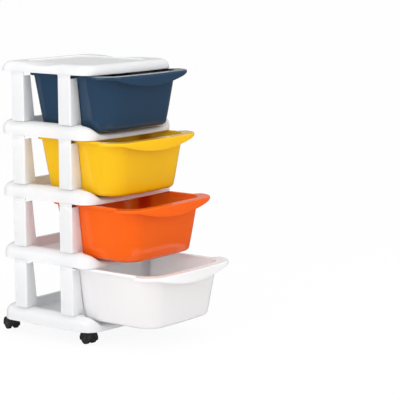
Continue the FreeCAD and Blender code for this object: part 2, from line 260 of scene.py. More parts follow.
class RingSweep:
    """Closed skin swept ring by ring over rounded outlines.

    The first ring is a flat face. Each further ring is extruded from the last one's edges and
    set on its own outline and height, and the last ring is filled.
    """

    CORNER_SHARE = 0.2

    def __init__(self, corner_cuts: int, front_cuts: int, side_shares: Sequence[float]) -> None:
        """Make the first face.

        Args:
            corner_cuts: faces round each corner.
            front_cuts: vertices added along the front and the rear.
            side_shares: where along the sides, from front to rear, the vertices lie.
        """
        self.mesh: BMesh = bmesh.new()
        self.tag = self.mesh.verts.layers.int.new("spot")
        self.spots: list[RingSpot] = []
        self._make_first_face(corner_cuts, front_cuts, len(side_shares))
        self._read_spots(side_shares)
        self.ring: list[BMEdge] = list(self.mesh.edges)
        self.started = False
        self.shift = Vector((0.0, 0.0, 0.0))

    def _make_first_face(self, corner_cuts: int, front_cuts: int, side_cuts: int) -> None:
        """Round the corners of a square and cut its edges.

        Args:
            corner_cuts: faces round each corner.
            front_cuts: vertices added along the front and the rear.
            side_cuts: vertices added along each side.
        """
        mesh = self.mesh
        bmesh.ops.create_grid(mesh, x_segments=1, y_segments=1, size=1.0)
        bmesh.ops.bevel(
            mesh, geom=mesh.verts[:], offset=self.CORNER_SHARE, segments=corner_cuts,
            profile=0.5, affect="VERTICES", material=-1)
        long_edges = [edge for edge in mesh.edges if edge.calc_length() > 1.0]
        across = [e for e in long_edges if abs(e.verts[0].co.y - e.verts[1].co.y) < HAIR]
        along = [e for e in long_edges if e not in across]
        bmesh.ops.bisect_edges(mesh, edges=across, cuts=front_cuts)
        bmesh.ops.bisect_edges(mesh, edges=along, cuts=side_cuts)

    def _read_spots(self, side_shares: Sequence[float]) -> None:
        """Note each vertex's seat on the ring.

        Args:
            side_shares: shares of a side's length, from front to rear.
        """
        reach = 1.0 - self.CORNER_SHARE
        for vert in self.mesh.verts:
            u = max(-reach, min(reach, vert.co.x))
            v = max(-reach, min(reach, vert.co.y))
            facing = Vector((vert.co.x - u, vert.co.y - v)).normalized()
            stop = -1
            share = 0.0
            if abs(v) < reach - HAIR:
                step = 2.0 * reach / (len(side_shares) + 1)
                stop = round((v + reach) / step) - 1
                share = side_shares[stop]
            vert[self.tag] = len(self.spots)
            level = math.copysign(1.0, v) if stop < 0 else v / reach
            self.spots.append(RingSpot(u / reach, level, facing.x, facing.y, stop, share))

    def to(self, outline: Outline, height: Union[float, Level],
           warp: Optional[Warp] = None) -> None:
        """Carry the skin on to the next ring.

        Args:
            outline: what the ring follows.
            height: its height, or a function of X and Y that gives it.
            warp: a function that moves a vertex seen from above, or None.
        """
        verts = {vert for edge in self.ring for vert in edge.verts}
        if self.started:
            verts, self.ring = extrude_edges(self.mesh, self.ring)
        self.started = True
        for vert in verts:
            x, y = outline.place(self.spots[vert[self.tag]])
            if warp:
                x, y = warp(x, y)
            z = height(x, y) if callable(height) else height
            vert.co = Vector((x, y, z)) + self.shift

    def close(self) -> BMesh:
        """Fill the last ring and turn the faces outwards.

        Returns:
            The closed mesh.
        """
        bmesh.ops.contextual_create(self.mesh, geom=self.ring)
        turn_outwards(self.mesh)
        return self.mesh


class Workshop:
    """Turns finished meshes into pieces that ride on the frame."""

    def piece(self, mesh: BMesh, name: str, body: str, finish: bpy.types.Material,
              nodes: Sequence[str]) -> None:
        """Make one piece from its mesh.

        Args:
            mesh: the shape, which is used up.
            name: the piece's name.
            body: the frame's body that it rides on.
            finish: its material.
            nodes: the nodes that it stands for.
        """
        data = to_data(mesh, name)
        data.shade_smooth()
        data.set_sharp_from_angle(angle=SHARP_ANGLE)
        data.materials.append(finish)
        made = add_object(name, data)
        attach(made, body)
        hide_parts(*nodes)
        LOG.info("%s: %d faces, rides on %s", name, len(data.polygons), body)

    def merged_copy(self, node: str, flatness: float) -> BMesh:
        """Copy a node's triangles as one joined skin with whole flat faces.

        Args:
            node: the node's name.
            flatness: angle under which neighbouring faces are one.

        Returns:
            The copy.
        """
        mesh = bmesh.new()
        mesh.from_mesh(frame["nodes"][node].data)
        bmesh.ops.remove_doubles(mesh, verts=mesh.verts[:], dist=MERGE_DISTANCE)
        bmesh.ops.dissolve_limit(
            mesh, angle_limit=flatness, verts=mesh.verts[:], edges=mesh.edges[:])
        return mesh

    def dress(self, node: str, finish: bpy.types.Material) -> None:
        """Give a carried-over node its material.

        Args:
            node: the node's name.
            finish: its material.
        """
        data = frame["nodes"][node].data
        data.materials.clear()
        data.materials.append(finish)
        LOG.info("%s keeps its own shape", node)


class NodeBench:
    """Places nodes in a tree and links them."""

    def __init__(self, tree: bpy.types.NodeTree) -> None:
        """Work on one tree."""
        self.tree = tree

    @classmethod
    def cleared(cls, owner: Union[bpy.types.Material, bpy.types.World]) -> "NodeBench":
        """Clear a material or a world, and work on its tree.

        Args:
            owner: the material or the world.

        Returns:
            The bench.
        """
        owner.use_nodes = True
        owner.node_tree.nodes.clear()
        return cls(owner.node_tree)

    def add(self, kind: str, inputs: Optional[dict[str, Source]] = None,
            **values: object) -> bpy.types.Node:
        """Add a node, set its properties and feed its inputs.

        Args:
            kind: the node's type name.
            inputs: what its input sockets get, by name.
            values: properties by name.

        Returns:
            The node.
        """
        node = self.tree.nodes.new(kind)
        for name, value in values.items():
            setattr(node, name, value)
        for name, source in (inputs or {}).items():
            self.feed(source, node.inputs[name])
        return node

    def feed(self, source: Source, target: bpy.types.NodeSocket) -> None:
        """Link a socket to an input, or set a plain value on it.

        Args:
            source: the socket or the value.
            target: the input.
        """
        if isinstance(source, bpy.types.NodeSocket):
            self.tree.links.new(source, target)
        else:
            target.default_value = source

    def calculate(self, operation: str, *terms: Source) -> bpy.types.NodeSocket:
        """Work out a value.

        Args:
            operation: the Math node's operation.
            terms: the sockets or values that it takes, in order.

        Returns:
            The socket with the result.
        """
        node = self.add("ShaderNodeMath", operation=operation)
        for term, target in zip(terms, node.inputs):
            self.feed(term, target)
        return node.outputs["Value"]

    def noise(self, vector: bpy.types.NodeSocket, scale: Source,
              detail: float) -> bpy.types.NodeSocket:
        """Add a noise.

        Args:
            vector: where it is read.
            scale: its scale, per metre.
            detail: its octaves.

        Returns:
            The socket with its value.
        """
        node = self.add(
            "ShaderNodeTexNoise", {"Vector": vector, "Scale": scale, "Detail": detail})
        return node.outputs["Fac"]

    def remap(self, source: bpy.types.NodeSocket, low: float, high: float,
              to_low: float = 0.0, to_high: float = 1.0) -> bpy.types.NodeSocket:
        """Carry a range of values to another.

        Args:
            source: the socket that is read.
            low: start of the range read.
            high: end of the range read.
            to_low: what its start becomes.
            to_high: what its end becomes.

        Returns:
            The socket with the new value.
        """
        node = self.add("ShaderNodeMapRange", {
            "Value": source, "From Min": low, "From Max": high, "To Min": to_low,
            "To Max": to_high})
        return node.outputs["Result"]


class SurfaceGroup:
    """Node group that all finishes share, with sockets by name and kind."""

    NAME = "surface_group"
    INPUTS: dict[str, str] = {}
    OUTPUTS: dict[str, str] = {}

    def build(self) -> bpy.types.NodeTree:
        """Make the group.

        Returns:
            The group.
        """
        group = bpy.data.node_groups.new(self.NAME, "ShaderNodeTree")
        for side, sockets in (("INPUT", self.INPUTS), ("OUTPUT", self.OUTPUTS)):
            for name, kind in sockets.items():
                group.interface.new_socket(name, in_out=side, socket_type="NodeSocket" + kind)
        bench = NodeBench(group)
        bench.add("NodeGroupOutput", self._wire(bench, bench.add("NodeGroupInput").outputs))
        return group

    def _wire(self, bench: NodeBench, given: bpy.types.NodeOutputs) -> dict[str, Source]:
        """Place and link the group's nodes, which each kind of group does in its own way."""
        raise NotImplementedError


class MouldedSkin(SurfaceGroup):
    """Node group: the slow waves, the fine grain and the wiped look of moulded plastic."""

    NAME = "moulded_skin"
    INPUTS = {
        "Vector": "Vector", "Wave Scale": "Float", "Wave Depth": "Float",
        "Grain Scale": "Float", "Grain Depth": "Float", "Gloss": "Float", "Wipe": "Float"}
    OUTPUTS = {"Normal": "Vector", "Roughness": "Float", "Mottle": "Float"}

    WAVE_DETAIL = 1.0
    GRAIN_DETAIL = 2.0
    SMEAR_DETAIL = 5.0
    SMEAR_SCALE = 34.0
    SMEAR_STRETCH = (1.0, 1.0, 0.35)
    SMEAR_TURN = (0.3, 0.2, 0.5)
    SMEAR_RANGE = (0.42, 0.72)
    MOTTLE_RANGE = (0.3, 0.7)

    def _wire(self, bench: NodeBench, given: bpy.types.NodeOutputs) -> dict[str, Source]:
        """Place and link the group's nodes.

        Args:
            bench: where they go.
            given: the group's inputs.

        Returns:
            What its outputs get, by name.
        """
        wave = bench.noise(given["Vector"], given["Wave Scale"], self.WAVE_DETAIL)
        grain = bench.noise(given["Vector"], given["Grain Scale"], self.GRAIN_DETAIL)
        slow = bench.add("ShaderNodeBump", {"Height": wave, "Distance": given["Wave Depth"]})
        fine = bench.add("ShaderNodeBump", {
            "Height": grain, "Distance": given["Grain Depth"], "Normal": slow.outputs["Normal"]})
        stretched = bench.add("ShaderNodeMapping", {
            "Vector": given["Vector"], "Scale": self.SMEAR_STRETCH, "Rotation": self.SMEAR_TURN})
        smear = bench.remap(
            bench.noise(stretched.outputs["Vector"], self.SMEAR_SCALE, self.SMEAR_DETAIL),
            *self.SMEAR_RANGE)
        return {
            "Normal": fine.outputs["Normal"],
            "Roughness": bench.calculate("MULTIPLY_ADD", smear, given["Wipe"], given["Gloss"]),
            "Mottle": bench.remap(wave, *self.MOTTLE_RANGE)}


class RubMarks(SurfaceGroup):
    """Node group: faint dust on what faces up, and a tone that shifts with the mottle."""

    NAME = "rub_marks"
    INPUTS = {
        "Vector": "Vector", "Tone": "Color", "Deep Tone": "Color", "Dust": "Float",
        "Mottle": "Float"}
    OUTPUTS = {"Color": "Color"}

    UPWARD_RANGE = (0.75, 1.0)
    SPECK_SCALE = 420.0
    SPECK_DETAIL = 3.0
    SPECK_RANGE = (0.55, 0.75)
    DUST_TONE = (0.5, 0.48, 0.45, 1.0)

    def _wire(self, bench: NodeBench, given: bpy.types.NodeOutputs) -> dict[str, Source]:
        """Place and link the group's nodes.

        Args:
            bench: where they go.
            given: the group's inputs.

        Returns:
            What its outputs get, by name.
        """
        tone = bench.add("ShaderNodeMix", {
            "Factor": given["Mottle"], "A": given["Tone"], "B": given["Deep Tone"]},
            data_type="RGBA")
        normal = bench.add("ShaderNodeNewGeometry").outputs["Normal"]
        facing = bench.add("ShaderNodeSeparateXYZ", {"Vector": normal})
        upward = bench.remap(facing.outputs["Z"], *self.UPWARD_RANGE)
        specks = bench.remap(
            bench.noise(given["Vector"], self.SPECK_SCALE, self.SPECK_DETAIL), *self.SPECK_RANGE)
        amount = bench.calculate("MULTIPLY", upward, specks)
        dusty = bench.add("ShaderNodeMix", {
            "Factor": bench.calculate("MULTIPLY", amount, given["Dust"]),
            "A": tone.outputs["Result"], "B": self.DUST_TONE}, data_type="RGBA")
        return {"Color": dusty.outputs["Result"]}


@dataclass(frozen=True)
class PlasticFinish:
    """Finish of one moulded plastic."""

    name: str
    tone: Tone
    deep_tone: Tone
    gloss: float
    wipe: float
    wave_scale: float = 9.0
    wave_depth: float = 0.0006
    grain_scale: float = 2600.0
    grain_depth: float = 0.00001
    dust: float = 0.0
    specular: float = 0.5
    metallic: float = 0.0
    glow: float = 0.0
    glow_reach: float = 0.012

    GLOW_RADIUS = (1.0, 1.0, 1.0)

    def build(self, skin: bpy.types.NodeTree, marks: bpy.types.NodeTree) -> bpy.types.Material:
        """Make the material.

        Args:
            skin: the moulded skin group.
            marks: the rub marks group.

        Returns:
            The material.
        """
        material = bpy.data.materials.new(self.name)
        bench = NodeBench.cleared(material)
        place = bench.add("ShaderNodeTexCoord").outputs["Object"]
        surface = bench.add("ShaderNodeGroup", {
            "Vector": place, "Wave Scale": self.wave_scale, "Wave Depth": self.wave_depth,
            "Grain Scale": self.grain_scale, "Grain Depth": self.grain_depth,
            "Gloss": self.gloss, "Wipe": self.wipe}, node_tree=skin)
        worn = bench.add("ShaderNodeGroup", {
            "Vector": place, "Tone": (*self.tone, 1.0), "Deep Tone": (*self.deep_tone, 1.0),
            "Dust": self.dust, "Mottle": surface.outputs["Mottle"]}, node_tree=marks)
        shader = bench.add("ShaderNodeBsdfPrincipled", {
            "Specular IOR Level": self.specular, "Metallic": self.metallic,
            "Subsurface Weight": self.glow, "Subsurface Radius": self.GLOW_RADIUS,
            "Subsurface Scale": self.glow_reach, "Normal": surface.outputs["Normal"],
            "Roughness": surface.outputs["Roughness"], "Base Color": worn.outputs["Color"]})
        bench.add("ShaderNodeOutputMaterial", {"Surface": shader.outputs["BSDF"]})
        return material


@dataclass(frozen=True)
class TubFinish(PlasticFinish):
    """Finish of a drawer's tub: glossy, in long waves, with hardly any grain."""

    gloss: float = 0.09
    wipe: float = 0.03
    wave_scale: float = 7.0
    grain_depth: float = 0.000003
    dust: float = 0.01
    glow: float = 0.3


class Slot(Enum):
    """The record's material slots."""

    FRAME = "frame_white"
    NAVY = "drawer_navy"
    YELLOW = "drawer_yellow"
    ORANGE = "drawer_orange"
    WHITE = "drawer_white"
    CASTER = "caster_black"
    WHEEL = "wheel_black"
    STEEL = "caster_steel"


FINISHES = {
    Slot.FRAME: PlasticFinish(
        "white_frame_plastic", (0.88, 0.885, 0.90), (0.87, 0.875, 0.89), gloss=0.24, wipe=0.03,
        wave_depth=0.0002, grain_depth=0.000004, glow=0.5),
    Slot.NAVY: TubFinish(
        "navy_tub_plastic", (0.018, 0.048, 0.095), (0.016, 0.043, 0.086), gloss=0.07,
        wave_depth=0.0008, glow=0.0),
    Slot.YELLOW: TubFinish(
        "yellow_tub_plastic", (0.94, 0.52, 0.008), (0.92, 0.50, 0.007)),
    Slot.ORANGE: TubFinish(
        "orange_tub_plastic", (0.94, 0.125, 0.004), (0.92, 0.115, 0.004)),
    Slot.WHITE: TubFinish(
        "white_tub_plastic", (0.92, 0.922, 0.935), (0.91, 0.912, 0.925), gloss=0.11,
        wave_depth=0.0005, dust=0.0, glow=0.6),
    Slot.CASTER: PlasticFinish(
        "caster_nylon", (0.02, 0.02, 0.021), (0.016, 0.016, 0.017), gloss=0.38, wipe=0.15,
        wave_scale=60.0, wave_depth=0.0002, grain_scale=1800.0, grain_depth=0.00004, dust=0.3),
    Slot.WHEEL: PlasticFinish(
        "wheel_nylon", (0.026, 0.026, 0.027), (0.02, 0.02, 0.021), gloss=0.45, wipe=0.2,
        wave_scale=80.0, wave_depth=0.0002, grain_scale=1500.0, grain_depth=0.00005, dust=0.4),
    Slot.STEEL: PlasticFinish(
        "zinc_plated_steel", (0.6, 0.6, 0.59), (0.52, 0.52, 0.5), gloss=0.25, wipe=0.2,
        wave_scale=90.0, wave_depth=0.0001, grain_scale=3000.0, grain_depth=0.00002,
        metallic=1.0),
}


@dataclass
class TubDrawer:
    """Tapered tub with a flat rim whose turned-down front hangs as a crescent handle."""

    node: str
    slot: Slot
    half_width: float = 0.1635
    front: float = 0.145
    rear: float = 0.146
    bow: float = 0.007
    corner: float = 0.048
    rear_corner: float = 0.030
    taper: float = 0.0195
    bottom_round: float = 0.014
    wall: float = 0.0022
    rim_half_width: float = 0.195
    rim_run_half_width: float = 0.1730
    rim_front: float = 0.168
    rim_rear: float = 0.152
    rim_bow: float = 0.010
    rim_front_corner: float = 0.058
    rim_rear_corner: float = 0.034
    rim_sheet: float = 0.0025
    rim_drop: float = 0.0082
    rim_edge: float = 0.0018
    mouth_round: float = 0.0022
    handle_half_width: float = 0.160
    handle_drop: float = 0.024
    foot_width: float = 0.016
    foot_recess: float = 0.0008
    floor_inset: float = 0.048

    # Vertices along a side, as shares of its length, and rings down the wall, of its depth.
    SIDE_SHARES = (0.004, 0.02, 0.06, 0.15, 0.27, 0.4, 0.53, 0.66, 0.79, 0.9, 0.97)
    WALL_SHARES = (0.06, 0.15, 0.3, 0.45, 0.6, 0.75)
    FILLET_SHARE = 0.03
    # Rings round the rim's lower edge: how far inwards and up, as shares of the wall.
    LOWER_EDGE = ((1.0, 0.5), (0.75, 0.125), (0.5, 0.0), (0.2, 0.125), (0.0, 0.5))
    CORNER_CUTS = 14
    FRONT_CUTS = 31
    ROUND_STEPS = 8
    FILLET_STEPS = 3
    EDGE_STEPS = 4

    def body(self, depth_share: float, offset: float) -> Outline:
        """Give the tub's outline at a depth.

        Args:
            depth_share: 0 at the mouth and 1 at the bottom.
            offset: how far inside the outer wall.

        Returns:
            The outline.
        """
        drawn_in = self.taper * depth_share
        outer = Outline(
            self.half_width - drawn_in, self.front - drawn_in, self.rear - drawn_in,
            self.corner, self.rear_corner, self.bow)
        return outer.inset(offset)

    def rim(self, inset: float) -> Outline:
        """Give the rim's outline.

        Args:
            inset: how far inside its outer face.

        Returns:
            The outline.
        """
        return Outline(
            self.rim_run_half_width, self.rim_front, self.rim_rear, self.rim_front_corner,
            self.rim_rear_corner, self.rim_bow, self.rim_half_width).inset(inset)

    def crescent(self, top: float, lift: float) -> Level:
        """Give the height of the rim's lower edge.

        Args:
            top: height of the rim's top.
            lift: how far above the lower edge.

        Returns:
            A function of X and Y.
        """
        half, drop = self.handle_half_width, self.handle_drop
        radius = (half * half + drop * drop) / (2.0 * drop)
        edge = top - self.rim_drop + lift

        def height(x: float, y: float) -> float:
            """Work out the height at one place.

            Args:
                x: its X.
                y: its Y.

            Returns:
                The height.
            """
            if y > -self.front + self.corner or abs(x) >= half:
                return edge
            return edge - (math.sqrt(radius * radius - x * x) - radius + drop)

        return height

    def _bottom_round(self, sweep: RingSweep, low: float, depth: float, offset: float,
                      rising: bool) -> None:
        """Sweep the round between the floor and the wall.

        Args:
            sweep: the skin.
            low: height of the floor's face.
            depth: depth of the tub.
            offset: how far inside the outer wall.
            rising: True from the floor to the wall, False from the wall to the floor.
        """
        radius = self.bottom_round - offset
        slope = math.atan2(self.taper, depth)
        last = math.pi / 2.0 - slope
        centre_inset = radius / math.cos(slope) - radius * math.tan(slope)
        steps = range(self.ROUND_STEPS + 1)
        for step in (steps if rising else reversed(steps)):
            angle = last * step / self.ROUND_STEPS
            inset = centre_inset - radius * math.sin(angle)
            sweep.to(self.body(1.0, offset).inset(inset), low + radius * (1.0 - math.cos(angle)))

    def _under_side(self, sweep: RingSweep, low: float, depth: float) -> None:
        """Sweep the tub's underside, with a foot that stands round it.

        Args:
            sweep: the skin.
            low: height of the tub's bottom.
            depth: depth of the tub.
        """
        sunk = low + self.foot_recess
        flat = self.body(1.0, self.bottom_round)
        sweep.to(flat.inset(self.floor_inset), sunk)
        sweep.to(flat.inset(self.foot_width + self.foot_recess), sunk)
        sweep.to(flat.inset(self.foot_width), low)
        self._bottom_round(sweep, low, depth, 0.0, True)

    def _outer_wall(self, sweep: RingSweep, top: float, depth: float) -> None:
        """Sweep the outer wall up to the rim's underside.

        Args:
            sweep: the skin.
            top: height of the rim's top.
            depth: depth of the tub.
        """
        for share in reversed(self.WALL_SHARES):
            sweep.to(self.body(share, 0.0), top - share * depth)
        fillet = self.mouth_round
        wall = self.body(self.FILLET_SHARE, 0.0)
        for left, gone in quarter_turn(self.FILLET_STEPS):
            sweep.to(wall.inset(-fillet * gone), top - self.rim_sheet - fillet * left)

    def _rim_skin(self, sweep: RingSweep, top: float) -> None:
        """Sweep the rim's underside, its turned-down edge and its top.

        Args:
            sweep: the skin.
            top: height of the rim's top.
        """
        under = top - self.rim_sheet
        sweep.to(self.rim(self.wall + self.rim_edge), under)
        sweep.to(self.rim(self.wall), under - self.rim_edge / 2.0)
        for inset, lift in self.LOWER_EDGE:
            sweep.to(self.rim(self.wall * inset), self.crescent(top, self.wall * lift))
        for left, gone in quarter_turn(self.EDGE_STEPS):
            sweep.to(self.rim(self.rim_edge * gone), top - self.rim_edge * left)
        sweep.to(self.rim(self.rim_edge * 2.0), top)

    def _inside(self, sweep: RingSweep, top: float, depth: float) -> None:
        """Sweep the mouth, the inner wall and the inner floor.

        Args:
            sweep: the skin.
            top: height of the rim's top.
            depth: depth of the tub.
        """
        mouth = self.mouth_round
        sweep.to(self.body(0.0, self.wall - mouth - self.rim_edge), top)
        for left, gone in quarter_turn(self.EDGE_STEPS):
            sweep.to(self.body(0.0, self.wall - mouth * left), top - mouth * gone)
        for share in self.WALL_SHARES:
            sweep.to(self.body(share, self.wall), top - share * depth)
        floor = top - depth + self.wall
        self._bottom_round(sweep, floor, depth, self.wall, False)
        flat = self.body(1.0, self.bottom_round)
        sweep.to(flat.inset(self.foot_width), floor)
        sweep.to(flat.inset(self.floor_inset), floor)

    def build(self, shop: Workshop, finish: bpy.types.Material) -> None:
        """Make the drawer where its node stands.

        Args:
            shop: turns the mesh into a piece.
            finish: its material.
        """
        low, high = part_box(self.node)
        top = high.z
        depth = top - low.z
        sweep = RingSweep(self.CORNER_CUTS, self.FRONT_CUTS, self.SIDE_SHARES)
        sweep.shift = Vector((0.0, high.y - self.rim_rear, 0.0))
        self._under_side(sweep, low.z, depth)
        self._outer_wall(sweep, top, depth)
        self._rim_skin(sweep, top)
        self._inside(sweep, top, depth)
        shop.piece(
            sweep.close(), self.node + "_tub", self.node + "_body", finish,
            [self.node])


@dataclass
class ShellPlan:
    """Outline that the trays and the top panel share."""

    half_width: float = 0.195
    front: float = 0.170
    rear: float = 0.173
    bow: float = 0.010
    corner: float = 0.045
    wall: float = 0.0025
    edge_round: float = 0.026
    foot_edge: float = 0.0005

    CORNER_CUTS = 12
    FRONT_CUTS = 19
    ROUND_STEPS = 10

    def stops(self) -> tuple[float, ...]:
        """Give the places along the sides where the rings keep their vertices in line."""
        return ()

    def outline(self, inset: float) -> Outline:
        """Give the shell's outline.

        Args:
            inset: how far inside its outer face.

        Returns:
            The outline.
        """
        return Outline(
            self.half_width, self.front, self.rear, self.corner, self.corner, self.bow,
            stops=self.stops()).inset(inset)

    def start(self) -> RingSweep:
        """Start a skin that has a vertex on its sides for each stop.

        Returns:
            The skin.
        """
        count = len(self.stops())
        shares = [(k + 1) / (count + 1) for k in range(count)]
        return RingSweep(self.CORNER_CUTS, self.FRONT_CUTS, shares)

    def round_rings(self, offset: float, falling: bool) -> list[tuple[float, float]]:
        """Step over the round between the top and the outer wall.

        Args:
            offset: how far inside the outer face.
            falling: True from the top to the outer wall, False the other way.

        Returns:
            Each ring's inset from the outer face and its drop from the top.
        """
        radius = self.edge_round - offset
        return [(offset + radius * left, offset + radius * gone)
                for left, gone in quarter_turn(self.ROUND_STEPS, falling)]


@dataclass
class TopPanel(ShellPlan):
    """Cover with a rounded skirt, a shallow tray on top and a grip dip at each side."""

    node: str = "top_panel"
    recess_half_width: float = 0.127
    recess_margin: float = 0.042
    recess_depth: float = 0.003
    recess_corner: float = 0.034
    recess_edge: float = 0.0016
    grip_width: float = 0.060
    grip_depth: float = 0.009
    grip_shift: float = 0.015
    grip_radius: float = 0.404
    grip_blend: float = 0.0035

    FIRST_STOP = -0.092
    STOP_STEP = 0.0097
    STOP_COUNT = 20
    FLOOR_INSETS = (0.080, 0.040)
    # Rings up the shallow tray's edge, as insets and rises in edge widths, then over its brink,
    # as insets and drops in edge widths.
    RISE_RINGS = ((2.0, 0.0), (1.2, 0.3), (0.5, 1.375))
    BRINK_RINGS = ((0.1, 0.1), (-0.5, 0.0))
    # Rings across the border, and the sizes of an outline that change from ring to ring there.
    BORDER_SHARES = (0.2, 0.4, 0.6, 0.8)
    MIXED_SIZES = ("half_width", "front", "rear", "front_corner", "rear_corner")

    def stops(self) -> tuple[float, ...]:
        """Give evenly spaced places along the sides."""
        return tuple(self.FIRST_STOP + self.STOP_STEP * k for k in range(self.STOP_COUNT))

    def dipped(self, level: float, top: float) -> Level:
        """Lower a level where the grips dip.

        Args:
            level: height of the ring without its grips.
            top: height of the face that the grips cut.

        Returns:
            A function of X and Y that gives the ring's height.
        """
        start = self.half_width - self.grip_width

        def height(x: float, y: float) -> float:
            """Work out the height at one place.

            Args:
                x: its X.
                y: its Y.

            Returns:
                The height.
            """
            out = (abs(x) - start) * self.grip_depth / self.grip_width
            across = y - self.grip_shift
            radius = self.grip_radius + out
            cut = top + self.grip_radius - math.sqrt(max(radius * radius - across * across, 0.0))
            return smooth_min(level, cut, self.grip_blend)

        return height

    def recess(self, inset: float) -> Outline:
        """Give the outline of the shallow tray.

        Args:
            inset: how far inside its edge.

        Returns:
            The outline.
        """
        return Outline(
            self.recess_half_width, self.front - self.recess_margin,
            self.rear - self.recess_margin, self.recess_corner, self.recess_corner, self.bow,
            stops=self.stops()).inset(inset)

    def _face(self, sweep: RingSweep, top: float) -> None:
        """Sweep the shallow tray and the border round it.

        Args:
            sweep: the skin.
            top: height of the border.
        """
        sunk = top - self.recess_depth
        edge = self.recess_edge
        for inset in self.FLOOR_INSETS:
            sweep.to(self.recess(inset).spread(), sunk)
        for inset, rise in self.RISE_RINGS:
            sweep.to(self.recess(edge * inset), sunk + edge * rise)
        for inset, drop in self.BRINK_RINGS:
            sweep.to(self.recess(edge * inset), self.dipped(top - edge * drop, top))
        for share in self.BORDER_SHARES:
            sweep.to(self._between(share), self.dipped(top, top))

    def _between(self, share: float) -> Outline:
        """Give an outline on the border, between the shallow tray and the round.

        Args:
            share: 0 at the shallow tray and 1 at the round.

        Returns:
            The outline.
        """
        inner = self.recess(0.0)
        outer = self.outline(self.edge_round)
        mixed = {
            name: getattr(inner, name) + share * (getattr(outer, name) - getattr(inner, name))
            for name in self.MIXED_SIZES}
        return replace(inner, **mixed)

    def _shell(self, sweep: RingSweep, bottom: float, top: float, offset: float,
               falling: bool) -> None:
        """Sweep the round between the top and the skirt.

        Args:
            sweep: the skin.
            bottom: height of the skirt's edge.
            top: height of the border.
            offset: how far inside the outer face.
            falling: True from the top to the skirt, False from the skirt to the top.
        """
        for inset, drop in self.round_rings(offset, falling):
            level = max(top - drop, bottom)
            sweep.to(self.outline(inset), self.dipped(level, top - offset))

    def build(self, shop: Workshop, finish: bpy.types.Material) -> None:
        """Make the panel where its node stands.

        Args:
            shop: turns the mesh into a piece.
            finish: its material.
        """
        low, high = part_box(self.node)
        bottom, top = low.z, high.z
        sweep = self.start()
        self._face(sweep, top)
        self._shell(sweep, bottom, top, 0.0, True)
        sweep.to(self.outline(self.foot_edge / 2.0), bottom)
        sweep.to(self.outline(self.wall - self.foot_edge / 2.0), bottom)
        self._shell(sweep, bottom + self.foot_edge, top, self.wall, False)
        under = top - self.wall
        edge = self.recess(-self.wall)
        sweep.to(edge, self.dipped(under, under))
        sweep.to(edge, under - self.recess_depth)
        sweep.to(self.recess(self.FLOOR_INSETS[-1]).spread(), under - self.recess_depth)
        shop.piece(sweep.close(), "top_cover", TOWER_BODY, finish, [self.node])


